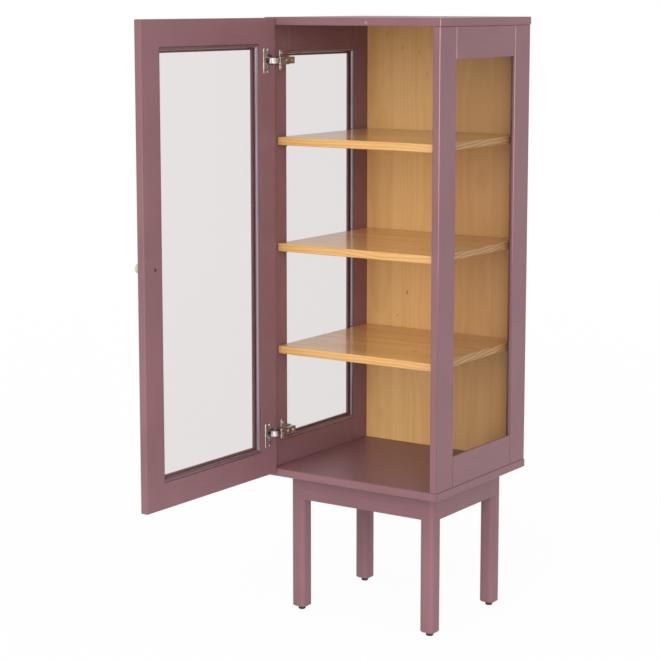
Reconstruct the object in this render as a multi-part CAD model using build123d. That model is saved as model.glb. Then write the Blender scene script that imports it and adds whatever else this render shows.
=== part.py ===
from build123d import *
import os

# China cabinet: a glazed case with one door, on a low frame with four legs. Millimetres.
# X runs to the right, Y to the back, Z up. The origin is on the floor, midway between the legs.
# The door stands open, and its parts are drawn closed and then swung out on the hinge links.

# Overall sizes
cabinet_width = 460.0
board_depth = 404.0
cabinet_height = 1380.0
leg_frame_height = 330.0

# Top and bottom boards, and the case sides between them
board_thickness = 18.0
side_thickness = 18.0
side_inset = 1.5
front_setback = 0.5
rear_inset = 1.5
edge_bevel = 1.2
loose_tenon_thickness = 8.0
loose_tenon_width = 28.0
loose_tenon_length = 30.0
loose_tenon_in_board = 12.0

# Framed and glazed panels: the two sides and the door
member_width = 70.0
rebate_width = 13.0
lip_thickness = 6.0
glass_thickness = 3.0
glass_clearance = 1.0
strip_width = 8.0
strip_height = 7.0
strip_lip = 1.5
strip_shoulder = 2.0
strip_bulge = 1.2
strip_clearance = 0.3
tenon_length = 20.0
tenon_thickness = 6.0
tenon_shoulder = 16.0

# Back panel, let into the rear stiles from behind
back_thickness = 4.0
back_rebate = 9.0
back_clearance = 0.5
back_screw_head = 6.0
back_screw_length = 14.0
back_screws_a_side = 3
back_screw_from_end = 60.0

# Shelves on pins, by the height of each top face above the bottom board
shelf_heights = (284.0, 521.0, 763.0)
shelf_thickness = 18.0
shelf_setback = 21.0
shelf_end_gap = 1.0
shelf_back_gap = 2.0
pin_setback = 48.0
pin_diameter = 5.0
pin_depth = 9.0
pin_reach = 8.0

# Leg frame
leg_size = 38.0
leg_corner_radius = 13.0
leg_foot_bevel = 2.0
leg_inset_side = 55.0
leg_inset_front = 66.0
apron_height = 60.0
apron_thickness = 20.0
apron_tenon_length = 16.0
apron_tenon_thickness = 9.0
apron_tenon_shoulder = 8.0
glide_diameter = 17.0
glide_height = 5.0
glide_bevel = 1.5
glide_stem_diameter = 4.0
glide_stem_length = 14.0
block_reach = 38.0
block_thickness = 25.0
frame_screw_diameter = 4.0
frame_screw_head = 8.0
frame_screw_grip = 12.0

# Door
door_thickness = 18.0
door_side_reveal = 1.0
door_top_gap = 1.5
door_bottom_gap = 9.5
closed_gap = 2.5
door_open_angle = 91.2
bumper_diameter = 8.0
bumper_height = 2.0
bumper_bevel = 0.9
bumper_from_right = 188.0
bumper_below_top = 11.5

# Concealed cup hinges
hinge_from_door_top = 95.0
hinge_from_door_bottom = 93.0
link_swing = 42.25
arm_pin_inboard = 18.5
arm_pin_behind_front = 8.0
cup_pin_from_edge = 13.9
cup_pin_depth = 3.0
pin_bore_clearance = 0.1
hinge_pin_diameter = 3.0
hinge_eye_diameter = 6.0
link_width = 12.0
link_thickness = 1.6
link_rise = 6.5
link_side_clearance = 0.3
cup_diameter = 35.0
cup_wall = 1.0
cup_edge_distance = 5.0
cup_depth = 11.5
cup_bore_clearance = 0.1
cup_ear_thickness = 1.6
cup_ear_width = 8.0
flange_length = 57.0
flange_thickness = 1.2
flange_reach = 21.5
flange_corner = 4.0
flange_bevel = 0.8
cup_screw_spacing = 48.0
cup_screw_offset = 6.0
cup_screw_head = 7.0
cup_screw_length = 12.0
arm_length = 52.0
arm_wall = 1.4
arm_depth = 13.0
arm_nose_radius = 4.0
arm_web_start = 3.0
plate_setback = 37.0
plate_length = 42.0
plate_block_width = 20.0
plate_wing_span = 51.0
plate_wing_width = 14.0
plate_wing_thickness = 2.5
plate_wing_bevel = 1.0
plate_arm_clearance = 0.3
plate_screw_spacing = 32.0
plate_screw_head = 7.0
plate_screw_length = 14.0
arm_screw_head = 6.5
arm_screw_length = 10.0
arm_screw_spacing = 20.0

# Knob
knob_from_edge = 35.0
knob_diameter = 21.0
knob_projection = 29.5
knob_foot_diameter = 11.0
knob_waist_diameter = 9.6
knob_waist_height = 6.5
knob_rim_start = 18.5
knob_face_radius = 2.5
knob_screw_diameter = 4.0
knob_screw_head = 8.0
knob_screw_in_knob = 12.0

# Screws in general
screw_head_height = 1.6
screw_head_taper = 0.8
screw_shank_share = 0.5

# Room that a cutting shape has beyond the face that it cuts
overrun = 1.0

# Places that follow from the sizes
half_width = cabinet_width / 2
half_depth = board_depth / 2
case_bottom = leg_frame_height
floor_of_case = case_bottom + board_thickness
ceiling_of_case = cabinet_height - board_thickness
side_outer = half_width - side_inset
side_inner = side_outer - side_thickness
side_front = -half_depth + front_setback
side_rear = half_depth - rear_inset
back_front = side_rear - back_thickness
leg_x = half_width - leg_inset_side
leg_y = half_depth - leg_inset_front
leg_out_x = leg_x + leg_size / 2
leg_out_y = leg_y + leg_size / 2

door_width = cabinet_width - 2 * door_side_reveal
door_left = -half_width + door_side_reveal
door_right = door_left + door_width
door_inner = -half_depth - closed_gap
door_outer = door_inner - door_thickness
door_top = cabinet_height - door_top_gap
door_bottom = case_bottom + door_bottom_gap
hinge_levels = {"upper": door_top - hinge_from_door_top, "lower": door_bottom + hinge_from_door_bottom}
cup_centre_x = door_left + cup_edge_distance + cup_diameter / 2
screw_line_x = cup_centre_x + cup_screw_offset

arm_pin = Vector(-side_inner + arm_pin_inboard, -half_depth + arm_pin_behind_front, 0)
cup_pin_closed = Vector(door_left + cup_pin_from_edge, door_inner - cup_pin_depth, 0)


def swing_point(point, centre, degrees):
    """Turn a point about a vertical line through the centre."""
    return centre + (point - centre).rotate(Axis.Z, degrees)


cup_pin_open = swing_point(cup_pin_closed, arm_pin, link_swing)
link_open = Pos(*arm_pin) * Rot(0, 0, link_swing) * Pos(*(-arm_pin))
door_open = Pos(*cup_pin_open) * Rot(0, 0, -door_open_angle) * Pos(*(-cup_pin_closed))


def block(x0, x1, y0, y1, z0, z1):
    """A plain box between two corners."""
    middle = Pos((x0 + x1) / 2, (y0 + y1) / 2, (z0 + z1) / 2)
    return middle * Box(abs(x1 - x0), abs(y1 - y0), abs(z1 - z0))


def eased(solid):
    """Take the sharpness off every edge of a plain board."""
    return chamfer(solid.edges(), edge_bevel)


def rod(centre, direction, radius, length):
    """A round bar that starts at a point and runs along a direction."""
    return Plane(origin=centre, z_dir=direction) * Pos(0, 0, length / 2) * Cylinder(radius, length)


def screw(seat, direction, head, length, shank=None):
    """A pan-head screw: the seat is the face under its head, and it is driven along direction."""
    shank = shank or head * screw_shank_share
    body = Pos(0, 0, length / 2) * Cylinder(shank / 2, length)
    cap = Pos(0, 0, -screw_head_height / 2) * Cone(head / 2 - screw_head_taper, head / 2, screw_head_height)
    return Plane(origin=seat, z_dir=direction) * (body + cap)


def sunk_screw(seat, direction, head, length):
    """A countersunk screw, whose head is flush with the face that it is driven into."""
    shank = head * screw_shank_share
    taper = (head - shank) / 2
    body = Pos(0, 0, length / 2) * Cylinder(shank / 2, length)
    body += Pos(0, 0, taper / 2) * Cone(head / 2, shank / 2, taper)
    return Plane(origin=seat, z_dir=direction) * body


def glazed_frame(width, height, thickness, grooved):
    """Stiles, rails, pane and glazing strips of one framed panel, lying with its outer face on Z = 0.

    X runs across the panel from the first stile, Y up it, and Z goes in from the outer face. In a
    grooved frame each member is eased by itself, and otherwise the frame is eased as a whole.
    """
    sight_x = (member_width, width - member_width)
    sight_y = (member_width, height - member_width)
    pocket = block(sight_x[0] - rebate_width, sight_x[1] + rebate_width,
                   sight_y[0] - rebate_width, sight_y[1] + rebate_width, lip_thickness, thickness)
    blank = block(0, width, 0, height, 0, thickness) - block(*sight_x, *sight_y, 0, thickness)
    corners_kept = blank.edges().filter_by(Axis.Z).sort_by_distance((width / 2, height / 2, thickness / 2))[:4]
    blank = chamfer(blank.edges() - corners_kept, edge_bevel)
    tenon_z = (thickness - tenon_thickness) / 2
    rails = {}
    tenons = Part()
    for name, y0 in (("bottom", 0), ("top", height - member_width)):
        tenon = block(member_width - tenon_length, width - member_width + tenon_length,
                      y0 + tenon_shoulder, y0 + member_width - tenon_shoulder,
                      tenon_z, tenon_z + tenon_thickness)
        rail = block(*sight_x, y0, y0 + member_width, 0, thickness)
        rail = eased(rail) if grooved else rail & blank
        rails[name] = rail - pocket + tenon
        tenons += tenon
    stiles = {}
    for name, x0 in (("first", 0), ("second", width - member_width)):
        stile = block(x0, x0 + member_width, 0, height, 0, thickness)
        stile = eased(stile) if grooved else stile & blank
        stiles[name] = stile - pocket - tenons
    pane_edge = rebate_width - glass_clearance
    pane = block(sight_x[0] - pane_edge, sight_x[1] + pane_edge, sight_y[0] - pane_edge,
                 sight_y[1] + pane_edge, lip_thickness, lip_thickness + glass_thickness)
    return stiles, rails, pane, glazing_strips(sight_x, sight_y)


def glazing_strips(sight_x, sight_y):
    """Four mitred plastic beads that hold the pane down, each with a bulging face."""
    edge = rebate_width - strip_clearance
    x0, x1 = sight_x[0] - edge, sight_x[1] + edge
    y0, y1 = sight_y[0] - edge, sight_y[1] + edge
    level = lip_thickness + glass_thickness
    outer = [Vector(x0, y0, level), Vector(x1, y0, level), Vector(x1, y1, level), Vector(x0, y1, level)]
    low, high = Vector(strip_width, strip_lip), Vector(strip_shoulder, strip_height)
    bulge = (low + high) * 0.5 + Vector(high.Y - low.Y, low.X - high.X).normalized() * strip_bulge
    section = make_face([
        Polyline((strip_shoulder, strip_height), (0, strip_height), (0, 0), (strip_width, 0), (strip_width, strip_lip)),
        ThreePointArc((low.X, low.Y), (bulge.X, bulge.Y), (high.X, high.Y)),
    ])
    strips = []
    for i, start in enumerate(outer):
        end = outer[(i + 1) % 4]
        along = (end - start).normalized()
        inward = Vector(-along.Y, along.X, 0)
        bead = Plane(origin=start, x_dir=inward, z_dir=along) * extrude(section, (end - start).length)
        mitred = [start + along * (strip_clearance / 2), end - along * (strip_clearance / 2),
                  end + (inward - along) * strip_width - along * (strip_clearance / 2),
                  start + (inward + along) * strip_width + along * (strip_clearance / 2)]
        outline = make_face(Polyline(*[(v.X, v.Y, level) for v in mitred], close=True))
        strips.append(bead & extrude(outline, strip_height, dir=(0, 0, 1)))
    return Compound(children=strips)


def case_boards():
    """The top and bottom boards, with mortises for the sides and holes for the screws of the leg frame."""
    boards = {}
    for name, z0 in (("top_board", ceiling_of_case), ("bottom_board", case_bottom)):
        boards[name] = eased(block(-half_width, half_width, -half_depth, half_depth, z0, z0 + board_thickness))
        for tenon in case_tenons():
            boards[name] -= tenon
    for fastener in frame_screws():
        boards["bottom_board"] -= fastener
    return boards


def case_tenons():
    """A loose tenon in each end of each stile, let into the boards."""
    tenons = []
    x = (side_outer + side_inner) / 2
    half_thickness, half_tenon = loose_tenon_thickness / 2, loose_tenon_width / 2
    for side_x in (-x, x):
        for y in (side_front + member_width / 2, side_rear - member_width / 2):
            for top in (ceiling_of_case + loose_tenon_in_board,
                        floor_of_case + loose_tenon_length - loose_tenon_in_board):
                tenons.append(block(side_x - half_thickness, side_x + half_thickness, y - half_tenon,
                                    y + half_tenon, top - loose_tenon_length, top))
    return tenons


def shelf_pins():
    """Four steel pins under each shelf, in holes in the stiles."""
    pins = []
    for height in shelf_heights:
        z = floor_of_case + height - shelf_thickness - pin_diameter / 2
        for y in (side_front + pin_setback, side_rear - pin_setback):
            for sign in (-1, 1):
                start = (sign * (side_inner + pin_depth), y, z)
                pins.append(rod(start, (-sign, 0, 0), pin_diameter / 2, pin_depth + pin_reach))
    return pins


def shelves():
    """Three solid shelves that rest on the pins, with the front edge set back from the door."""
    made = {}
    x = side_inner - shelf_end_gap
    y0, y1 = side_front + shelf_setback, back_front - shelf_back_gap
    for name, height in zip(("bottom_shelf", "middle_shelf", "top_shelf"), shelf_heights):
        z1 = floor_of_case + height
        made[name] = eased(block(-x, x, y0, y1, z1 - shelf_thickness, z1))
    return made


def hinge_arm(level):
    """The arm: a channel that opens towards the side, with two cheeks that hold the link's pin."""
    inner = link_width / 2 + link_side_clearance
    outer = inner + arm_wall
    x0 = arm_pin.X + arm_nose_radius - arm_depth
    x1 = arm_pin.X + arm_nose_radius
    y1 = arm_pin.Y + arm_length
    nose = Pos(arm_pin.X, arm_pin.Y, level) * Cylinder(arm_nose_radius, 2 * outer)
    shell = nose + block(x0, x1, arm_pin.Y, y1, level - outer, level + outer)
    shell -= block(x0 - arm_wall, x1 - arm_wall, arm_pin.Y - 2 * arm_nose_radius, y1 + arm_wall,
                   level - inner, level + inner)
    shell -= block(x0, x1 + arm_wall, arm_pin.Y - 2 * arm_nose_radius, arm_pin.Y + arm_web_start,
                   level - inner, level + inner)
    shell -= rod((arm_pin.X, arm_pin.Y, level - outer), (0, 0, 1), hinge_pin_diameter / 2, 2 * outer)
    return shell


def hinge_plate(level):
    """The mounting plate: two wings on the side, a block under the arm and a rib inside its channel."""
    y_mid = side_front + plate_setback
    y0, y1 = y_mid - plate_length / 2, y_mid + plate_length / 2
    arm_open_edge = arm_pin.X + arm_nose_radius - arm_depth
    web_inside = arm_pin.X + arm_nose_radius - arm_wall
    face = -side_inner
    profile = SlotOverall(plate_wing_span, plate_wing_width)
    wings = Plane(origin=(face, y_mid, level), x_dir=(0, 0, 1), z_dir=(1, 0, 0)) * profile
    plate = extrude(wings, plate_wing_thickness)
    plate = chamfer(plate.faces().sort_by(Axis.X)[-1].edges(), plate_wing_bevel)
    half = plate_block_width / 2
    rib = link_width / 2
    rib_y0 = max(y0, arm_pin.Y + hinge_eye_diameter)
    plate += block(face, arm_open_edge - plate_arm_clearance, y0, y1, level - half, level + half)
    plate += block(face, web_inside, rib_y0, y1, level - rib, level + rib)
    return plate


def plate_screws(level):
    """Two screws that hold a mounting plate to the side."""
    y = side_front + plate_setback
    seat_x = -side_inner + plate_wing_thickness
    return [screw((seat_x, y, level + dz), (-1, 0, 0), plate_screw_head, plate_screw_length)
            for dz in (-plate_screw_spacing / 2, plate_screw_spacing / 2)]


def arm_screws(level):
    """The fixing screw and the adjusting screw through the arm's web into the plate's rib."""
    y = side_front + plate_setback + arm_screw_head / 2
    seat_x = arm_pin.X + arm_nose_radius
    return [screw((seat_x, y + dy, level), (-1, 0, 0), arm_screw_head, arm_screw_length)
            for dy in (-arm_screw_spacing / 2, arm_screw_spacing / 2)]


def hinge_pin(place, level, ear_gap, ear):
    """A pin through both ears, flush with their outer faces."""
    half = ear_gap / 2 + ear
    return rod((place.X, place.Y, level - half), (0, 0, 1), hinge_pin_diameter / 2, 2 * half)


def hinge_link(level):
    """The curved link of one hinge, as it lies with the door closed: a rolled eye at each end."""
    chord = cup_pin_closed - arm_pin
    middle = (arm_pin + cup_pin_closed) * 0.5
    # The link bows towards the room, so that it clears the rim of the cup's bore
    outward = Vector(-chord.Y, chord.X, 0).normalized()
    half = chord.length / 2
    radius = (half ** 2 + link_rise ** 2) / (2 * link_rise)
    centre = middle + outward * (link_rise - radius)
    crown = middle + outward * link_rise

    def at(point, r):
        spoke = (point - centre).normalized()
        place = centre + spoke * r
        return (place.X, place.Y)

    r_out, r_in = radius + link_thickness / 2, radius - link_thickness / 2
    outer_arc = ThreePointArc(at(arm_pin, r_out), at(crown, r_out), at(cup_pin_closed, r_out))
    inner_arc = ThreePointArc(at(cup_pin_closed, r_in), at(crown, r_in), at(arm_pin, r_in))
    ends = [Line(outer_arc @ 1, inner_arc @ 0), Line(inner_arc @ 1, outer_arc @ 0)]
    web = make_face([outer_arc, ends[0], inner_arc, ends[1]])
    profile = web
    for pin in (arm_pin, cup_pin_closed):
        profile += Pos(pin.X, pin.Y) * Circle(hinge_eye_diameter / 2)
    for pin in (arm_pin, cup_pin_closed):
        profile -= Pos(pin.X, pin.Y) * Circle(hinge_pin_diameter / 2 + pin_bore_clearance)
    return Pos(0, 0, level - link_width / 2) * extrude(profile, link_width)


def hinge_cup(level):
    """The cup in the door: a pressed bowl, a flange with a bevelled edge, and two ears for the pin."""
    outer = cup_diameter / 2 - cup_bore_clearance
    centre = (cup_centre_x, door_inner, level)
    bowl = rod(centre, (0, -1, 0), outer, cup_depth)
    bowl = chamfer(bowl.edges().group_by(Axis.Y)[0], cup_wall)
    x1 = cup_centre_x + flange_reach
    plate = block(cup_centre_x, x1, door_inner, door_inner + flange_thickness,
                  level - flange_length / 2, level + flange_length / 2)
    plate = fillet(plate.edges().filter_by(Axis.Y), flange_corner)
    plate = chamfer(plate.faces().sort_by(Axis.Y)[-1].edges(), flange_bevel)
    cup = bowl + plate
    hollow = rod((cup_centre_x, door_inner + 2 * flange_thickness, level), (0, -1, 0),
                 outer - cup_wall, cup_depth - cup_wall + 2 * flange_thickness)
    cup -= hollow
    gap = link_width / 2 + link_side_clearance
    ears = Part()
    for sign in (-1, 1):
        z = sorted((level + sign * gap, level + sign * (gap + cup_ear_thickness)))
        ears += block(cup_pin_closed.X - cup_ear_width / 2, cup_pin_closed.X + cup_ear_width / 2,
                      door_inner - cup_depth + cup_wall, door_inner, *z)
    bowl_space = rod(centre, (0, -1, 0), outer - cup_wall / 2, cup_depth - cup_wall / 2)
    cup += ears & bowl_space
    for cup_screw in cup_screws(level):
        cup -= cup_screw
    return cup - hinge_pin(cup_pin_closed, level, 2 * gap, cup_ear_thickness)


def cup_screws(level):
    """Two screws through the flange into the door."""
    return [screw((screw_line_x, door_inner + flange_thickness, level + dz), (0, -1, 0),
                  cup_screw_head, cup_screw_length)
            for dz in (-cup_screw_spacing / 2, cup_screw_spacing / 2)]


def leg(sign_x, sign_y):
    """A leg with rounded corners; in the frame it stays square where the aprons meet it."""
    foot, head, top = glide_height, leg_frame_height - apron_height, leg_frame_height
    shaft = Pos(0, 0, foot) * extrude(RectangleRounded(leg_size, leg_size, leg_corner_radius), head - foot)
    shaft = chamfer(shaft.edges().group_by(Axis.Z)[0], leg_foot_bevel)
    square = Pos(0, 0, (head + top) / 2) * Box(leg_size, leg_size, top - head)
    outer_edge = square.edges().filter_by(Axis.Z).sort_by(
        lambda e: sign_x * e.center().X + sign_y * e.center().Y)[-1]
    square = fillet(outer_edge, leg_corner_radius)
    post = Pos(sign_x * leg_x, sign_y * leg_y, 0) * (shaft + square)
    return post - glide(sign_x, sign_y)


def glide(sign_x, sign_y):
    """A nail-on floor glide with a bevelled rim."""
    pad = Pos(0, 0, glide_height / 2) * Cylinder(glide_diameter / 2, glide_height)
    pad = chamfer(pad.edges().group_by(Axis.Z)[0], glide_bevel)
    stem = Pos(0, 0, glide_height + glide_stem_length / 2) * Cylinder(glide_stem_diameter / 2, glide_stem_length)
    return Pos(sign_x * leg_x, sign_y * leg_y, 0) * (pad + stem)


def apron(axis, sign):
    """A rail between two legs, flush with their outer faces, with a tenon at each end."""
    z0, z1 = leg_frame_height - apron_height, leg_frame_height
    across = leg_out_y if axis == "x" else leg_out_x
    run = (leg_x if axis == "x" else leg_y) - leg_size / 2
    middle = across - apron_thickness / 2
    half_tenon = apron_tenon_thickness / 2
    long_run = run + apron_tenon_length
    tenon_z = (z0 + apron_tenon_shoulder, z1 - apron_tenon_shoulder)
    if axis == "x":
        rail = block(-run, run, sign * (across - apron_thickness), sign * across, z0, z1)
        tongue = block(-long_run, long_run, sign * middle - half_tenon, sign * middle + half_tenon, *tenon_z)
    else:
        rail = block(sign * (across - apron_thickness), sign * across, -run, run, z0, z1)
        tongue = block(sign * middle - half_tenon, sign * middle + half_tenon, -long_run, long_run, *tenon_z)
    return rail + tongue


def corner_block(sign_x, sign_y):
    """A glued block that braces one inner corner of the leg frame, bored for its screw."""
    in_x, in_y = leg_x - leg_size / 2, leg_y - leg_size / 2
    wall_x, wall_y = leg_out_x - apron_thickness, leg_out_y - apron_thickness
    outline = [(in_x, wall_y), (in_x - block_reach, wall_y), (wall_x, in_y - block_reach),
               (wall_x, in_y), (in_x, in_y)]
    face = make_face(Polyline(*[(sign_x * x, sign_y * y) for x, y in outline], close=True))
    body = Pos(0, 0, leg_frame_height - block_thickness) * extrude(face, block_thickness)
    return body - frame_screw(sign_x, sign_y)


def frame_screw(sign_x, sign_y):
    """The screw that goes up through a corner block into the bottom board."""
    in_x, in_y = leg_x - leg_size / 2, leg_y - leg_size / 2
    step = (block_reach + apron_thickness - leg_size) / 4
    seat = (sign_x * (in_x - step), sign_y * (in_y - step), leg_frame_height - block_thickness)
    return screw(seat, (0, 0, 1), frame_screw_head, block_thickness + frame_screw_grip, frame_screw_diameter)


corners = [(-1, -1), (1, -1), (-1, 1), (1, 1)]


def frame_screws():
    return [frame_screw(*corner) for corner in corners]


def back_screws():
    """Small screws from behind, through the panel's edges into the rear stiles."""
    x = side_inner + back_rebate / 2
    first, last = floor_of_case + back_screw_from_end, ceiling_of_case - back_screw_from_end
    step = (last - first) / (back_screws_a_side - 1)
    return [sunk_screw((sign * x, side_rear, first + i * step), (0, -1, 0), back_screw_head, back_screw_length)
            for sign in (-1, 1) for i in range(back_screws_a_side)]


def knob():
    """A turned knob on the door's outer face: a waist that flares to a flat face with a soft edge."""
    foot, waist, rim = knob_foot_diameter / 2, knob_waist_diameter / 2, knob_diameter / 2
    face_start = (rim, knob_projection - knob_face_radius)
    face_end = (rim - knob_face_radius, knob_projection)
    profile = make_face([
        Line((0, 0), (foot, 0)),
        ThreePointArc((foot, 0), (waist, knob_waist_height), (rim, knob_rim_start)),
        Line((rim, knob_rim_start), face_start),
        RadiusArc(face_start, face_end, -knob_face_radius),
        Line(face_end, (0, knob_projection)),
        Line((0, knob_projection), (0, 0)),
    ])
    turned = revolve(Plane.XZ * profile, Axis.Z)
    centre = (door_right - knob_from_edge, door_outer, (door_top + door_bottom) / 2)
    return Plane(origin=centre, z_dir=(0, -1, 0)) * turned


def knob_screw():
    """The screw from the inside of the door into the knob."""
    seat = (door_right - knob_from_edge, door_inner, (door_top + door_bottom) / 2)
    return screw(seat, (0, -1, 0), knob_screw_head, door_thickness + knob_screw_in_knob, knob_screw_diameter)


def build_sides(nodes, drilled):
    """Both glazed sides, from one drawing of the frame, mirrored for the other hand."""
    depth, height = side_rear - side_front, ceiling_of_case - floor_of_case
    stiles, rails, pane, strips = glazed_frame(depth, height, side_thickness, True)
    pieces = {"front_stile": stiles["first"], "rear_stile": stiles["second"], "top_rail": rails["top"],
              "bottom_rail": rails["bottom"], "glass": pane, "glazing_strips": strips}
    frame_places = {
        "left": Plane(origin=(-side_outer, side_front, floor_of_case), x_dir=(0, 1, 0), z_dir=(1, 0, 0)),
        "right": Plane(origin=(side_outer, side_front, floor_of_case), x_dir=(0, 1, 0), z_dir=(-1, 0, 0)),
    }
    back = back_space()
    for hand, place in frame_places.items():
        for name, piece in pieces.items():
            if hand == "right":
                piece = mirror(piece, Plane.XZ)
            made = place * piece
            if name == "rear_stile":
                made -= back
            if name.endswith("stile"):
                for tool in drilled:
                    made -= tool
            nodes[f"{hand}_{name}"] = made


def back_space():
    """The rebate that takes the back panel, between the rear stiles."""
    x = side_inner + back_rebate
    return block(-x, x, back_front, side_rear + overrun, floor_of_case - overrun, ceiling_of_case + overrun)


def build_door(nodes):
    """The door, drawn closed in front of the case and then swung open."""
    stiles, rails, pane, strips = glazed_frame(door_width, door_top - door_bottom, door_thickness, False)
    place = Plane(origin=(door_left, door_outer, door_bottom), x_dir=(1, 0, 0), z_dir=(0, 1, 0))
    closed = {}
    pieces = {"door_hinge_stile": stiles["first"], "door_free_stile": stiles["second"],
              "door_top_rail": rails["top"], "door_bottom_rail": rails["bottom"],
              "door_glass": pane, "door_glazing_strips": strips}
    for name, piece in pieces.items():
        closed[name] = place * mirror(piece, Plane.XZ)
    screws = []
    for hand, level in hinge_levels.items():
        bore = rod((cup_centre_x, door_inner, level), (0, -1, 0), cup_diameter / 2, cup_depth + cup_bore_clearance)
        closed["door_hinge_stile"] -= bore
        for cup_screw in cup_screws(level):
            closed["door_hinge_stile"] -= cup_screw
            screws.append(cup_screw)
        closed[f"{hand}_hinge_cup"] = hinge_cup(level)
    gap = link_width + 2 * link_side_clearance
    cup_pins = [hinge_pin(cup_pin_closed, level, gap, cup_ear_thickness) for level in hinge_levels.values()]
    closed["hinge_cup_pins"] = Compound(children=cup_pins)
    closed["hinge_cup_screws"] = Compound(children=screws)
    closed["door_free_stile"] -= knob_screw()
    closed["door_knob"] = knob() - knob_screw()
    closed["knob_screw"] = knob_screw()
    for name, piece in closed.items():
        nodes[name] = door_open * piece


def build_leg_frame(nodes):
    aprons = {"front_apron": apron("x", -1), "rear_apron": apron("x", 1),
              "left_apron": apron("y", -1), "right_apron": apron("y", 1)}
    for sign_x, sign_y in corners:
        post = leg(sign_x, sign_y)
        for rail in aprons.values():
            post -= rail
        name = ("front" if sign_y < 0 else "rear") + ("_left_leg" if sign_x < 0 else "_right_leg")
        nodes[name] = post
    nodes.update(aprons)
    nodes["floor_glides"] = Compound(children=[glide(*corner) for corner in corners])
    nodes["corner_blocks"] = Compound(children=[corner_block(*corner) for corner in corners])
    nodes["frame_screws"] = Compound(children=frame_screws())


def build_hinges(nodes):
    """Plates, arms and links of both hinges, and what holds them."""
    screws_in_side, screws_in_arm, pins = [], [], []
    for hand, level in hinge_levels.items():
        on_plate, on_arm = plate_screws(level), arm_screws(level)
        plate, arm = hinge_plate(level), hinge_arm(level)
        for tool in on_plate + on_arm:
            plate -= tool
            arm -= tool
        nodes[f"{hand}_hinge_plate"] = plate
        nodes[f"{hand}_hinge_arm"] = arm
        nodes[f"{hand}_hinge_link"] = link_open * hinge_link(level)
        screws_in_side += on_plate
        screws_in_arm += on_arm
        pins.append(hinge_pin(arm_pin, level, link_width + 2 * link_side_clearance, arm_wall))
    nodes["hinge_plate_screws"] = Compound(children=screws_in_side)
    nodes["hinge_arm_screws"] = Compound(children=screws_in_arm)
    nodes["hinge_arm_pins"] = Compound(children=pins)
    return screws_in_side


def build():
    nodes = case_boards()
    side_screws = build_hinges(nodes)
    pins, tenons, panel_screws = shelf_pins(), case_tenons(), back_screws()
    build_sides(nodes, side_screws + pins + tenons + panel_screws)
    nodes["case_tenons"] = Compound(children=tenons)
    nodes["shelf_pins"] = Compound(children=pins)
    nodes.update(shelves())
    x = side_inner + back_rebate - back_clearance
    panel = block(-x, x, back_front, side_rear, floor_of_case, ceiling_of_case)
    for panel_screw in panel_screws:
        panel -= panel_screw
    nodes["back_panel"] = panel
    nodes["back_screws"] = Compound(children=panel_screws)
    bumper_seat = (half_width - bumper_from_right, -half_depth, cabinet_height - bumper_below_top)
    bumper = rod(bumper_seat, (0, -1, 0), bumper_diameter / 2, bumper_height)
    nodes["door_bumper"] = chamfer(bumper.edges().group_by(Axis.Y)[0], bumper_bevel)
    build_leg_frame(nodes)
    build_door(nodes)
    return nodes


os.makedirs("parts", exist_ok=True)
for name, shape in build().items():
    export_step(shape, f"parts/{name}.step")
print("arm pin", arm_pin, "cup pin, door open", cup_pin_open)
print("swing of the link and of the door on it", link_swing, link_swing + door_open_angle)
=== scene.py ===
from math import radians

import bmesh
import bpy
import numpy as np
from mathutils import Matrix, Vector


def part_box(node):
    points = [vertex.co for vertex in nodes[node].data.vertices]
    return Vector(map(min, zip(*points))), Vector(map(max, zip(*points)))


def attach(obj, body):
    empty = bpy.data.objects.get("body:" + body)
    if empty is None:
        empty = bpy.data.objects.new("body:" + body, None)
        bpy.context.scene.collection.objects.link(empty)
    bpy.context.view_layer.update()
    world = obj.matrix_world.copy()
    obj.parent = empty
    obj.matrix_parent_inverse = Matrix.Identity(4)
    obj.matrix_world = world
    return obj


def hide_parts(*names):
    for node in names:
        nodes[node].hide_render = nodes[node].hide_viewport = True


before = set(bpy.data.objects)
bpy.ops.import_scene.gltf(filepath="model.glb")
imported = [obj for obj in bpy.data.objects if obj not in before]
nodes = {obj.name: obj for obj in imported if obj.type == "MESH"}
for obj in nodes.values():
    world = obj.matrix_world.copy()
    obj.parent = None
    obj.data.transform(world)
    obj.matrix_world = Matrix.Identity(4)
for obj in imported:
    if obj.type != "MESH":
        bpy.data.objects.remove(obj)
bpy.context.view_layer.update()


# The leg frame
# Four legs with rounded corners and four aprons tenoned into them, planed from solid wood and sprayed
# in the case's satin rose paint, which lets a little grain through. Each leg stands on a glide.

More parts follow.
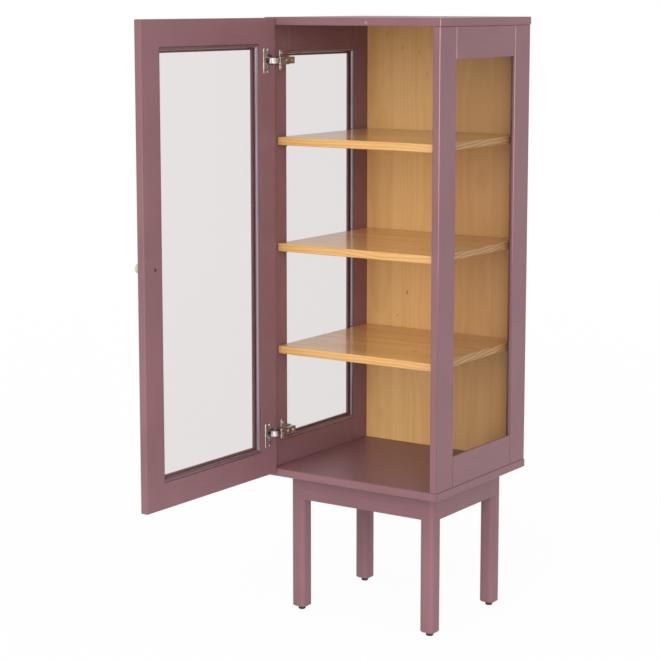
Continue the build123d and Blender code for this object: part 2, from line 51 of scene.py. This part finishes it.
class Wire:
    """A value in a material. Sums on it add Math nodes, and node() adds a node of any other kind."""

    def __init__(self, tree, socket=None):
        self.tree = tree
        self.socket = socket

    def node(self, kind, settings=None, inputs=None, output=0):
        """Add a node: its settings first, then the values or wires of its sockets."""
        made = self.tree.nodes.new("ShaderNode" + kind)
        for name, value in (settings or {}).items():
            setattr(made, name, value)
        for name, value in (inputs or {}).items():
            if isinstance(value, Wire):
                self.tree.links.new(value.socket, made.inputs[name])
            else:
                made.inputs[name].default_value = value
        return Wire(self.tree, made.outputs[output] if len(made.outputs) else None)

    def math(self, operation, *values):
        return self.node("Math", {"operation": operation}, dict(enumerate(values)))

    def __add__(self, other):
        return self.math("ADD", self, other)

    def __radd__(self, other):
        return self.math("ADD", other, self)

    def __sub__(self, other):
        return self.math("SUBTRACT", self, other)

    def __rsub__(self, other):
        return self.math("SUBTRACT", other, self)

    def __mul__(self, other):
        return self.math("MULTIPLY", self, other)

    def __rmul__(self, other):
        return self.math("MULTIPLY", other, self)

    def __truediv__(self, other):
        return self.math("DIVIDE", self, other)

    def __pow__(self, other):
        return self.math("POWER", self, other)

    def size(self):
        """The value without its sign."""
        return self.math("ABSOLUTE", self)

    def rise(self, low, high):
        """0 below low, 1 above high, and a smooth step between them."""
        return self.node("MapRange", {"interpolation_type": "SMOOTHSTEP"},
                         {"Value": self, "From Min": low, "From Max": high})

    def mix(self, first, second):
        """The first colour where this value is 0, the second where it is 1."""
        return self.node("Mix", {"data_type": "RGBA"}, {0: self, 6: first, 7: second}, 2)

    def parts(self):
        """The three numbers of a vector."""
        return [self.node("SeparateXYZ", {}, {0: self}, i) for i in range(3)]

    def scaled(self, x, y, z):
        """A vector times one factor for each axis."""
        return self.node("VectorMath", {"operation": "MULTIPLY"}, {0: self, 1: (x, y, z)})

    def streaked(self, axis, along, across):
        """A place scaled for a texture that is drawn out along one axis."""
        return self.scaled(*[along if name == axis else across for name in "xyz"])

    def noise(self, scale, detail=2.0, roughness=0.5):
        """Noise at this place, from 0 to 1 and mostly near the middle."""
        return self.node("TexNoise", {}, {"Vector": self, "Scale": scale, "Detail": detail,
                                          "Roughness": roughness})


def begin(name):
    """A new material, its empty tree, and the place on the piece in metres."""
    made = bpy.data.materials.new(name)
    made.use_nodes = True
    made.node_tree.nodes.clear()
    tree = Wire(made.node_tree)
    return made, tree, tree.node("TexCoord", output="Object")


def show(tree, shader):
    """End a material in its shader."""
    tree.node("OutputMaterial", {}, {"Surface": shader})


def dress(names, material):
    """Give CAD pieces their finish."""
    for name in names:
        nodes[name].material_slots[0].material = material


def colour(red, green, blue):
    """An sRGB colour of 0 to 255 as the linear colour that sockets take."""
    steps = (red / 255, green / 255, blue / 255)
    return (*[s / 12.92 if s <= 0.04045 else ((s + 0.055) / 1.055) ** 2.4 for s in steps], 1.0)


paint_tone = colour(133, 95, 101)
paint_deep = colour(124, 87, 92)
# A paler colour for a painted highlight on the bevels, and a darker one for painted shade in the grooves.
painted_arris_highlight = colour(190, 154, 162)
painted_groove_shade = colour(104, 64, 68)
grain_along, grain_across = 1.6, 34.0
spray_scale = 900.0
outer_face = (0.216, 0.219)
upper_case = (0.62, 1.2)
bevel_slant = (0.25, 0.45)
groove_shade_share = 0.7


def rose_paint(name, along, wear_and_bevel_light=1.0):
    """Satin paint over wood: faint grain along one axis, fine spray texture, and marked bevels.

    The bevels of upright edges carry a painted highlight on the outer face of the upper case and painted
    shade in their grooves elsewhere, and the third argument says how much of both shows.
    """
    made, tree, place = begin(name)
    grain = place.streaked(along, grain_along, grain_across).noise(6.0, 3.0, 0.6)
    cloud = place.noise(5.0, 2.0)
    spray = place.noise(spray_scale, 1.0)
    tone = (cloud * 0.7 + grain * 0.3).rise(0.3, 0.7).mix(paint_deep, paint_tone)
    normal = tree.node("TexCoord", output="Normal")
    toward_x, toward_y, _ = normal.node("VectorMath", {"operation": "ABSOLUTE"}, {0: normal}).parts()
    x, _, height = place.parts()
    outside = x.size().rise(*outer_face) * height.rise(*upper_case)
    # Painted light: a painted highlight on the outward bevels of the upper case, painted shade on the rest.
    bevel = (toward_x * toward_y).rise(*bevel_slant) * wear_and_bevel_light
    tone = (bevel * (1.0 - outside) * groove_shade_share).mix(tone, painted_groove_shade)
    tone = (bevel * outside * (0.5 + 0.5 * place.noise(30.0))).mix(tone, painted_arris_highlight)
    bump = tree.node("Bump", {}, {"Strength": 0.25, "Distance": 0.0004,
                                  "Height": spray * 0.35 + grain * 0.65})
    show(tree, tree.node("BsdfPrincipled", {}, {
        "Base Color": tone, "Roughness": 0.28 + 0.12 * cloud + 0.06 * spray, "Normal": bump,
        "Specular IOR Level": 0.35}))
    return made


paint_up = rose_paint("rose_paint_up", "z")
paint_across = rose_paint("rose_paint_across", "x")
paint_deepwise = rose_paint("rose_paint_deepwise", "y")
# The legs get no painted highlight or painted shade on their bevels.
leg_paint = rose_paint("rose_paint_leg", "z", wear_and_bevel_light=0.0)
dress(["front_apron", "rear_apron"], paint_across)
dress(["left_apron", "right_apron"], paint_deepwise)

wood_end = 0.0097
foot_bevel = 0.002
legs = ["front_left_leg", "front_right_leg", "rear_left_leg", "rear_right_leg"]


def stand_for(node, body, mesh, finish):
    """Put a detailed mesh in the place of a CAD node."""
    piece = bpy.data.objects.new(node + "_detailed", mesh)
    bpy.context.scene.collection.objects.link(piece)
    mesh.materials.clear()
    mesh.materials.append(finish)
    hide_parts(node)
    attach(piece, body)


for leg in legs:
    mesh = nodes[leg].data.copy()
    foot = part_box(leg)[0][2]
    for point in mesh.vertices:
        if point.co.z < foot + 1.2 * foot_bevel:
            point.co.z += wood_end - foot
    stand_for(leg, "cabinet", mesh, leg_paint)


# Corner blocks and loose tenons
# Planed beech, unpainted. The blocks are glued into the corners of the leg frame, and the tenons are
# hidden in the joints between the case sides and the boards.

stave_seed = 0.37
pith_depth, pith_spread = 0.014, 0.05
knot_stretch = 0.4
year_wander = 1.4
fibre_along, fibre_across = 5.0, 420.0
band_along, band_across = 1.3, 38.0


def wood_finish(name, axes, staves, ring, tones, contrast, knots=(), lean=0.5, wave=0.012, fibres=0.35,
                bands=1.1, seam=0.35, ends=0.0, satin=0.4, **gloss):
    """Wood cut from round timber: growth rings about a pith line, fibres along it, and knots.

    axes names the directions along the grain, across the staves and through them. staves is the
    width of each glued-up board and ring that of a year's growth. tones are the pale early wood, the
    late wood and the dark of a knot. Each knot has its places along and across the grain and its
    radius. lean says how far the pith lies to one side of each stave, and wave how much the rings
    wander. contrast, fibres, bands and seam say how strongly the rings, the fibres, broad bands and
    the glued joints show, and ends how much more the rings show on the end grain. satin is the
    roughness, and gloss holds constants of the shader, with _ for a blank.
    """
    made, tree, place = begin(name)
    places = dict(zip("xyz", place.parts()))
    run, over, deep = [places[axis] for axis in axes]
    stave = run.math("FLOOR", over / staves)
    dice = tree.node("TexWhiteNoise", {"noise_dimensions": "1D"}, {"W": stave + stave_seed}, "Color").parts()
    drift = tree.node("CombineXYZ", {}, {0: run * 1.5, 1: stave * 3.7 + dice[0] * 5.0, 2: deep * 3.0})
    wander = (drift.noise(1.4, 2.0) - 0.5) * wave * 4.0
    from_over = over - (stave + 0.5) * staves - (dice[0] - 0.5) * staves * 2.0 * lean + wander
    from_deep = deep - run.math("SIGN", dice[2] - 0.5) * (-pith_depth - pith_spread * dice[1]) + wander * 0.6
    bend, heart = 0.0, None
    for knot_run, knot_over, knot_size in knots:
        gap = (((run - knot_run) * knot_stretch) ** 2 + (over - knot_over) ** 2) ** 0.5
        bend = (1.0 - gap.rise(0.0, knot_size * 4.0)) * knot_size * 2.5 + bend
        core = 1.0 - gap.rise(knot_size * 0.5, knot_size)
        heart = core if heart is None else heart.math("MAXIMUM", heart, core)
    radius = (from_over ** 2 + from_deep ** 2) ** 0.5 + bend
    year = radius / ring + (place.noise(9.0, 2.0) - 0.5) * year_wander
    phase = run.math("FRACT", year)
    late = phase.rise(0.2, 0.84) * (1.0 - phase.rise(0.9, 1.0))
    along_fibres = {0: run * fibre_along, 1: over * fibre_across, 2: deep * fibre_across}
    fibre = tree.node("CombineXYZ", {}, along_fibres).noise(1.0, 2.0, 0.6)
    along_bands = {0: run * band_along, 1: over * band_across, 2: deep * band_across}
    broad = tree.node("CombineXYZ", {}, along_bands).noise(1.0, 2.0)
    depth = (late - 0.4) * contrast + (fibre - 0.5) * fibres + (broad - 0.5) * bands
    depth = depth + (dice[1] - 0.5) * 0.4 + 0.45
    if ends:
        facing = dict(zip("xyz", tree.node("TexCoord", output="Normal").parts()))[axes[0]]
        end_grain = facing.size().rise(0.8, 0.95)
        depth = depth + (late - 0.35) * end_grain * ends
    tone = depth.rise(0.0, 1.0).mix(tones[0], tones[1])
    if heart is not None:
        tone = (heart * 0.85).mix(tone, tones[2])
    to_joint = (over / staves - stave - 0.5).size()
    tone = (to_joint.rise(0.492, 0.4995) * seam).mix(tone, tones[2])
    bump = tree.node("Bump", {}, {"Strength": 0.12, "Distance": 0.0003, "Height": late * 0.4 + fibre * 0.6})
    show(tree, tree.node("BsdfPrincipled", {}, {
        "Base Color": tone, "Roughness": satin + 0.12 * fibre - 0.06 * late, "Normal": bump,
        **{socket.replace("_", " "): value for socket, value in gloss.items()}}))
    return made


beech_tones = (colour(222, 190, 152), colour(196, 158, 118), colour(150, 112, 80))
beech = wood_finish("raw_beech", "zxy", 0.2, 0.0022, beech_tones, 0.4, satin=0.6)
dress(["corner_blocks", "case_tenons"], beech)


# Floor glides
# Black plastic pads with a steel nail through the middle, knocked into the end grain of each leg.
# They have the fine matt grain of the mould and are scuffed on the face that slides.

glide_black = colour(22, 22, 23)
glide_scuffed = colour(58, 56, 55)
scuffed_height = 0.0012
mould_grain = 1500.0
black_plastic, tree, place = begin("black_plastic")
scuff = place.noise(260.0, 3.0, 0.7).rise(0.52, 0.75) * (1.0 - place.parts()[2].rise(0.0, scuffed_height))
pebble = place.noise(mould_grain, 1.0)
bump = tree.node("Bump", {}, {"Strength": 0.4, "Distance": 0.0002, "Height": pebble})
show(tree, tree.node("BsdfPrincipled", {}, {
    "Base Color": scuff.mix(glide_black, glide_scuffed), "Roughness": 0.45 + 0.2 * scuff + 0.1 * pebble,
    "Normal": bump}))

glide_radius = 0.0085
glide_bevel = 0.0015
glide_shoulder = 0.001
glide_top_radius = glide_radius * 0.94
round_below = radians(32.0)


def turned(profile, around=24):
    """A closed shape turned from (radius, height) points about Z. The first and last lie on the axis."""
    shape = bmesh.new()
    turns = [2.0 * np.pi * i / around for i in range(around)]
    rings = [[shape.verts.new((radius * np.cos(turn), radius * np.sin(turn), height)) for turn in turns]
             for radius, height in profile[1:-1]]
    for low, high in zip(rings, rings[1:]):
        for i in range(around):
            j = (i + 1) % around
            shape.faces.new((low[i], low[j], high[j], high[i]))
    for ring, (_, height), up in ((rings[0], profile[0], False), (rings[-1], profile[-1], True)):
        tip = shape.verts.new((0.0, 0.0, height))
        for i in range(around):
            j = (i + 1) % around
            shape.faces.new((ring[i], ring[j], tip) if up else (ring[j], ring[i], tip))
    return shape


def shaded(name, shape):
    """The mesh of a shape, shaded round except across sharp edges."""
    mesh = bpy.data.meshes.new(name)
    shape.to_mesh(mesh)
    shape.free()
    mesh.polygons.foreach_set("use_smooth", [True] * len(mesh.polygons))
    mesh.set_sharp_from_angle(angle=round_below)
    return mesh


def set_down(shape, mesh, matrix):
    """Add a mesh to a shape in the place that a matrix gives."""
    before = len(shape.verts)
    shape.from_mesh(mesh)
    shape.verts.ensure_lookup_table()
    bmesh.ops.transform(shape, matrix=matrix, verts=shape.verts[before:])


pad = shaded("glide", turned([
    (0.0, 0.0), (glide_radius - glide_bevel, 0.0), (glide_radius, glide_bevel),
    (glide_radius, wood_end - glide_shoulder), (glide_top_radius, wood_end), (0.0, wood_end)], 32))
pads = bmesh.new()
for leg in legs:
    low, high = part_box(leg)
    set_down(pads, pad, Matrix.Translation(((low[0] + high[0]) / 2, (low[1] + high[1]) / 2, 0.0)))
stand_for("floor_glides", "cabinet", shaded("floor_glides", pads), black_plastic)


# Top and bottom boards
# Solid panels with slightly eased edges, painted all over. The sides stand between them on loose
# tenons, and both boards reach a little past the sides, which shows as a fine dark line.

dress(["top_board", "bottom_board"], paint_across)


# Case sides
# Two glazed frames, each of two stiles and two rails with stub tenons. Every member is eased before
# assembly, so a fine groove shows at each joint in the paint, which adds painted shade in the grooves
# and a painted highlight on the outer bevels of the upper case.

for hand in ("left", "right"):
    dress([f"{hand}_front_stile", f"{hand}_rear_stile"], paint_up)
    dress([f"{hand}_top_rail", f"{hand}_bottom_rail"], paint_deepwise)


# Panes
# Three sheets of 3 mm float glass, faintly grey against the light. They lie in the rebates of the
# frames and are held by the glazing strips.

glass_lets_through = (0.928, 0.911, 0.908, 1.0)
mirrored_head_on = 0.04
clear_glass, tree, place = begin("clear_glass")
smear = place.noise(7.0, 3.0, 0.6).rise(0.45, 0.75)
sheen = tree.node("BsdfPrincipled", {}, {
    "Base Color": (0.02, 0.02, 0.02, 1.0), "Roughness": 0.02 + 0.05 * smear, "IOR": 1.52})
through = tree.node("BsdfTransparent", {}, {"Color": glass_lets_through})
slant = tree.node("LayerWeight", {}, {"Blend": 0.5}, "Facing")
mirror_share = mirrored_head_on + (1.0 - mirrored_head_on) * slant ** 5.0
show(tree, tree.node("MixShader", {}, {0: mirror_share, 1: through, 2: sheen}))
dress(["left_glass", "right_glass", "door_glass"], clear_glass)


# Glazing strips
# Smoke-grey rigid plastic, glossy and a little translucent, mitred in the corners and pressed into
# the rebate over the glass. The rounded face draws a bright line of light.

strip_tone = colour(112, 84, 94)
strip_dark = colour(84, 60, 68)
strip_plastic, tree, place = begin("strip_plastic")
streak = place.scaled(40.0, 40.0, 3.0).noise(4.0, 2.0)
bump = tree.node("Bump", {}, {"Strength": 0.12, "Distance": 0.0002, "Height": place.noise(140.0, 2.0)})
show(tree, tree.node("BsdfPrincipled", {}, {
    "Base Color": streak.mix(strip_dark, strip_tone), "Roughness": 0.16 + 0.08 * streak, "Normal": bump,
    "Specular IOR Level": 0.8, "Coat Weight": 1.0, "Coat Roughness": 0.06}))
dress(["left_glazing_strips", "right_glazing_strips", "door_glazing_strips"], strip_plastic)


# Back panel
# Thin plywood with a pine face, its grain upright and its leaves some 14 cm wide. It is let into the
# rear stiles from behind and clear-lacquered, with a few small pin knots.

leaf_width = 0.138
veneer_ring = 0.0042
veneer_tones = (colour(236, 194, 130), colour(216, 164, 98), colour(132, 84, 46))
panel_knots = ((1.336, -0.155, 0.0012), (1.313, -0.192, 0.001), (1.305, -0.111, 0.0016),
               (1.295, -0.065, 0.0014), (1.246, -0.042, 0.0012), (1.222, -0.168, 0.001),
               (0.718, -0.0945, 0.0024), (0.659, -0.122, 0.0014))
veneer = wood_finish("pine_veneer", "zxy", leaf_width, veneer_ring, veneer_tones, 0.13, panel_knots,
                     lean=0.3, wave=0.009, fibres=0.12, bands=0.5, seam=0.1, satin=0.42)
dress(["back_panel"], veneer)


# Shelf pins
# Plain zinc-plated steel pins, pushed into holes in the stiles of the sides, four under each shelf.
# The shelves only lie on them.

zinc_bright = colour(196, 198, 200)
zinc_dull = colour(150, 152, 155)
zinc_steel, tree, place = begin("zinc_steel")
bloom = place.noise(420.0, 3.0, 0.6)
bump = tree.node("Bump", {}, {"Strength": 0.15, "Distance": 0.0001, "Height": place.noise(1800.0, 2.0)})
show(tree, tree.node("BsdfPrincipled", {}, {
    "Base Color": bloom.rise(0.35, 0.65).mix(zinc_dull, zinc_bright), "Metallic": 1.0,
    "Roughness": 0.3 + 0.2 * bloom, "Normal": bump}))
dress(["shelf_pins"], zinc_steel)


# Shelves
# Three boards glued up from pine staves, with the grain from side to side, rings showing at the ends
# and a clear satin lacquer. They lie loose on the pins.

shelf_stave = 0.074
shelf_ring = 0.0076
pine_tones = (colour(228, 182, 114), colour(196, 142, 80), colour(116, 70, 36))
shelf_knots = {"bottom_shelf": ((0.09, -0.07, 0.004),), "middle_shelf": ((-0.12, 0.05, 0.004),),
               "top_shelf": ((0.04, 0.10, 0.003),)}
for name, knots in shelf_knots.items():
    pine = wood_finish("solid_pine_" + name, "xyz", shelf_stave, shelf_ring, pine_tones, 0.32, knots,
                       lean=1.0, wave=0.016, fibres=0.18, bands=0.8, seam=0.2, ends=1.1, satin=0.3,
                       Coat_Weight=0.6, Coat_Roughness=0.1)
    dress([name], pine)


# Hinges
# Nickel-plated: pressed steel arms and links, and die-cast zinc plates on the left front stile and cups
# in the door. The arms clamp on the plates, and the links swing on pins between arm and cup.

nickel_bright = colour(216, 208, 206)
nickel_dull = colour(170, 161, 160)
drawn_along, drawn_across = 40.0, 700.0


def nickel_plate(name, along, satin):
    """Plated metal with faint drawn lines along one axis and a slight haze."""
    made, tree, place = begin(name)
    drawn = place.streaked(along, drawn_along, drawn_across).noise(1.0, 2.0)
    haze = place.noise(120.0, 2.0)
    bump = tree.node("Bump", {}, {"Strength": 0.2, "Distance": 0.0001, "Height": drawn})
    show(tree, tree.node("BsdfPrincipled", {}, {
        "Base Color": haze.rise(0.35, 0.7).mix(nickel_dull, nickel_bright), "Metallic": 1.0,
        "Roughness": satin + 0.12 * haze + 0.08 * drawn, "Normal": bump}))
    return made


nickel = nickel_plate("nickel_plate", "y", 0.22)
cast_nickel = nickel_plate("nickel_plate_cast", "z", 0.34)
for hand in ("upper", "lower"):
    dress([f"{hand}_hinge_arm", f"{hand}_hinge_link"], nickel)
    dress([f"{hand}_hinge_plate", f"{hand}_hinge_cup"], cast_nickel)
dress(["hinge_arm_pins", "hinge_cup_pins"], nickel)


# Screws
# Cross-recessed steel screws: pan heads hold the hinges, the knob and the leg frame, and countersunk
# ones the back panel. The hinges' are nickel-plated and the others zinc-plated, the knob's one dulled.

same_point = 1e-6
same_height = 1e-5
sunk_below = 1e-4
sunk_head = ((1.0, 0.0), (0.92, 1.0))
sunk_rise = 0.00005
pan_head = ((0.96, 0.0), (1.0, 0.12), (0.97, 0.45), (0.86, 0.78), (0.6, 0.94))
tip_radius, tip_length, point_length = 0.3, 0.4, 2.2
recess_reach, recess_width, recess_depth = 0.56, 0.13, 0.42
recess_narrows = 0.6
first_turn, turn_on = 20, 37


def screws_of(node):
    """Where each screw of a CAD node is: seat, axis out of its head, radius of head and of shank, length
    below the seat and height above it."""
    shape = bmesh.new()
    shape.from_mesh(nodes[node].data)
    bmesh.ops.remove_doubles(shape, verts=shape.verts, dist=same_point)
    met = set()
    found = []
    for first in shape.verts:
        if first in met:
            continue
        met.add(first)
        reached = [first]
        for vert in reached:
            for other in [edge.other_vert(vert) for edge in vert.link_edges]:
                if other not in met:
                    met.add(other)
                    reached.append(other)
        points = np.array([vert.co for vert in reached])
        axis = np.linalg.svd(points - points.mean(axis=0), full_matrices=False)[2][0]
        along = points @ axis
        ends = [points[np.abs(along - end) < same_height].mean(axis=0) for end in (along.min(), along.max())]
        axis = (ends[1] - ends[0]) / np.linalg.norm(ends[1] - ends[0])
        along = (points - ends[0]) @ axis
        out = np.linalg.norm(points - ends[0] - along[:, None] * axis, axis=1)
        if out[along < along.max() / 2].max() > out[along > along.max() / 2].max():
            along = along.max() - along
            axis, ends = -axis, ends[::-1]
        head = out.max()
        seat = along[out > head - same_height].min()
        shank = out[along < same_height].max()
        found.append((Vector(ends[0] + axis * seat), Vector(axis), head, shank, seat, along.max() - seat))
    shape.free()
    return found


def cross(size, width, top, bottom):
    """The tool that cuts a cross recess: a plus shape that narrows downwards."""
    corners = [(width, size), (width, width), (size, width)]
    plus = [(x * sx, y * sy) for sx, sy in ((1, 1), (1, -1), (-1, -1), (-1, 1))
            for x, y in (corners if sx * sy > 0 else corners[::-1])]
    shape = bmesh.new()
    upper = [shape.verts.new((x, y, top)) for x, y in plus]
    lower = [shape.verts.new((x * recess_narrows, y * recess_narrows, bottom)) for x, y in plus]
    shape.faces.new(upper[::-1])
    shape.faces.new(lower)
    for i in range(len(plus)):
        j = (i + 1) % len(plus)
        shape.faces.new((upper[i], upper[j], lower[j], lower[i]))
    bmesh.ops.recalc_face_normals(shape, faces=shape.faces)
    return shape


def as_object(name, shape):
    """A shape as an object of the scene."""
    mesh = bpy.data.meshes.new(name)
    shape.to_mesh(mesh)
    shape.free()
    made = bpy.data.objects.new(name, mesh)
    bpy.context.scene.collection.objects.link(made)
    return made


def cross_screws(node, body, finish):
    """Screws with a cross recess, in the places and sizes of a CAD node's, which they stand for."""
    places = screws_of(node)
    head, shank, deep, high = places[0][2:]
    sunk = high < sunk_below
    top = sunk_rise if sunk else high
    crown = [(head * out, top * up) for out, up in (sunk_head if sunk else pan_head)]
    neck = -(head - shank) if sunk else 0.0
    profile = [(0.0, -deep), (shank * tip_radius, -deep + shank * tip_length),
               (shank, -deep + shank * point_length), (shank, neck), *crown, (0.0, top)]
    blank = as_object(node + "_blank", turned(profile))
    recess = cross(head * recess_reach, head * recess_width, top + 0.0005, top - head * recess_depth)
    tool = as_object(node + "_tool", recess)
    cut = blank.modifiers.new("recess", "BOOLEAN")
    cut.object = tool
    cut.solver = "EXACT"
    bpy.context.view_layer.update()
    one = bpy.data.meshes.new_from_object(blank.evaluated_get(bpy.context.evaluated_depsgraph_get()))
    for used in (blank, tool):
        bpy.data.objects.remove(used)
    shape = bmesh.new()
    for i, (seat, axis, *_) in enumerate(places):
        driven = Matrix.Rotation(radians(first_turn + turn_on * i), 4, "Z")
        upright = axis.to_track_quat("Z", "Y").to_matrix().to_4x4()
        set_down(shape, one, Matrix.Translation(seat) @ (upright @ driven))
    stand_for(node, body, shaded(node, shape), finish)


dark_tone = colour(96, 74, 76)
dark_worn = colour(134, 116, 114)
dark_zinc, tree, place = begin("zinc_steel_dark")
wear_and_bevel_light = place.noise(800.0, 2.0).rise(0.5, 0.75)
show(tree, tree.node("BsdfPrincipled", {}, {
    "Base Color": wear_and_bevel_light.mix(dark_tone, dark_worn), "Metallic": 1.0, "Roughness": 0.5 - 0.15 * wear_and_bevel_light}))
cross_screws("knob_screw", "door", dark_zinc)
cross_screws("frame_screws", "cabinet", zinc_steel)
cross_screws("back_screws", "cabinet", zinc_steel)
screw_nickel = nickel_plate("nickel_plate_screws", "x", 0.3)
cross_screws("hinge_plate_screws", "cabinet", screw_nickel)
cross_screws("hinge_arm_screws", "cabinet", screw_nickel)
cross_screws("hinge_cup_screws", "door", screw_nickel)


# Door
# A glazed frame like the sides, 18 mm thick, that lies over the front of the case when closed. It
# stands open in the photograph and swings on the two hinges.

# How much painted highlight and painted shade the door's bevels show.
door_bevel_light = 0.3
door_paint_up = rose_paint("rose_paint_door_up", "z", door_bevel_light)
door_paint_deep = rose_paint("rose_paint_door_deepwise", "y", door_bevel_light)
dress(["door_hinge_stile", "door_free_stile"], door_paint_up)
dress(["door_top_rail", "door_bottom_rail"], door_paint_deep)


# Bumper
# A small dot of clear plastic with a bevelled rim, stuck on the front edge of the top board. It
# softens the door's closing.

bumper_tone = colour(150, 112, 118)
bumper_pale = colour(166, 130, 136)
clear_plastic, tree, place = begin("clear_plastic")
cloudy = place.noise(900.0, 2.0)
show(tree, tree.node("BsdfPrincipled", {}, {
    "Base Color": cloudy.mix(bumper_tone, bumper_pale),
    "Roughness": 0.08 + 0.1 * cloudy, "Coat Weight": 1.0}))
dress(["door_bumper"], clear_plastic)


# Knob
# Turned from pale wood and lacquered, with the grain along its axis and rings on its flat face. A
# screw through the free stile holds it.

knob_ring = 0.0016
knob_tones = (colour(214, 206, 190), colour(188, 178, 158), colour(150, 138, 118))
knob_wood = wood_finish("pale_lacquer", "xyz", 0.3, knob_ring, knob_tones, 0.5, wave=0.002, satin=0.3)
dress(["door_knob"], knob_wood)


# Floor
# A plain pale floor that keeps the cabinet's shadow and fades into the white room. It isn't part of
# the object.

half = 30.0
shadow_ends, floor_ends = 2.0, 9.0
mesh = bpy.data.meshes.new("floor")
corners = [(-half, -half, 0), (half, -half, 0), (half, half, 0), (-half, half, 0)]
mesh.from_pydata(corners, [], [(0, 1, 2, 3)])
floor = bpy.data.objects.new("floor", mesh)
bpy.context.scene.collection.objects.link(floor)
pale_floor, tree, place = begin("pale_floor")
path = tree.node("LightPath", output="Is Camera Ray")
mirrored = tree.node("LightPath", output="Is Glossy Ray")
far = place.node("VectorMath", {"operation": "LENGTH"}, {0: place}, "Value").rise(shadow_ends, floor_ends)
seen = path.math("MAXIMUM", path, mirrored * (1.0 - 0.5 * far))
pale = 0.74 + 0.2 * seen + 0.02 * place.noise(3.0, 2.0)
matt = tree.node("BsdfDiffuse", {}, {"Color": tree.node("CombineColor", {}, {0: pale, 1: pale, 2: pale})})
white = tree.node("Emission", {}, {"Strength": 1.0})
show(tree, tree.node("MixShader", {}, {0: seen * (0.95 + 0.05 * far), 1: matt, 2: white}))
floor.data.materials.append(pale_floor)


# Light
# An even white room and soft lamps: the key from beside the camera, one from above, a weak one from
# the right through the pane, and a low card for the legs and the foot of the door.

room_light = 0.52
room_mirrored = 0.85
key_softness = radians(58.0)
side_softness = radians(60.0)
card_size = 1.6
world = bpy.data.worlds.new("white_room")
bpy.context.scene.world = world
world.use_nodes = True
world.node_tree.nodes.clear()
tree = Wire(world.node_tree)
path = tree.node("LightPath", output="Is Camera Ray")
mirrored = tree.node("LightPath", output="Is Glossy Ray")
strength = path.math("MAXIMUM", path, mirrored * (room_mirrored - room_light) + room_light)
backdrop = tree.node("Background", {}, {"Color": (1.0, 1.0, 1.0, 1.0), "Strength": strength})
tree.node("OutputWorld", {}, {"Surface": backdrop})


def put_light(name, kind, energy, place, turn):
    """A lamp at a place, turned by degrees about each axis from shining straight down."""
    lamp = bpy.data.lights.new(name, kind)
    lamp.energy = energy
    holder = bpy.data.objects.new(name, lamp)
    holder.location = place
    holder.rotation_euler = [radians(angle) for angle in turn]
    bpy.context.scene.collection.objects.link(holder)
    return lamp


put_light("key_sun", "SUN", 1.95, (0.0, 0.0, 2.0), (80.0, 0.0, 23.0)).angle = key_softness
put_light("fill_sun", "SUN", 1.0, (0.0, 0.0, 2.0), (40.0, 0.0, 15.0)).angle = side_softness
put_light("side_sun", "SUN", 0.75, (0.0, 0.0, 2.0), (84.0, 0.0, 80.0)).angle = side_softness
put_light("low_card", "AREA", 12.0, (1.1, -1.9, 0.25), (97.0, 0.0, 32.0)).size = card_size


# Camera
# It stands in front of the cabinet and to its right, at the height of its top, and looks down a little.
# The lens is shifted as well, so it needs less tilt and the uprights lean less.

look_down = 8.538
turned_left = 33.93
lens = bpy.data.cameras.new("camera")
lens.lens = 105.44
lens.sensor_width = 36.0
lens.shift_y = -0.06
camera = bpy.data.objects.new("camera", lens)
camera.location = (2.332, -3.745, 1.417)
camera.rotation_euler = (radians(90.0 - look_down), 0.0, radians(turned_left))
bpy.context.scene.collection.objects.link(camera)
bpy.context.scene.camera = camera
bpy.context.scene.view_settings.view_transform = "Standard"
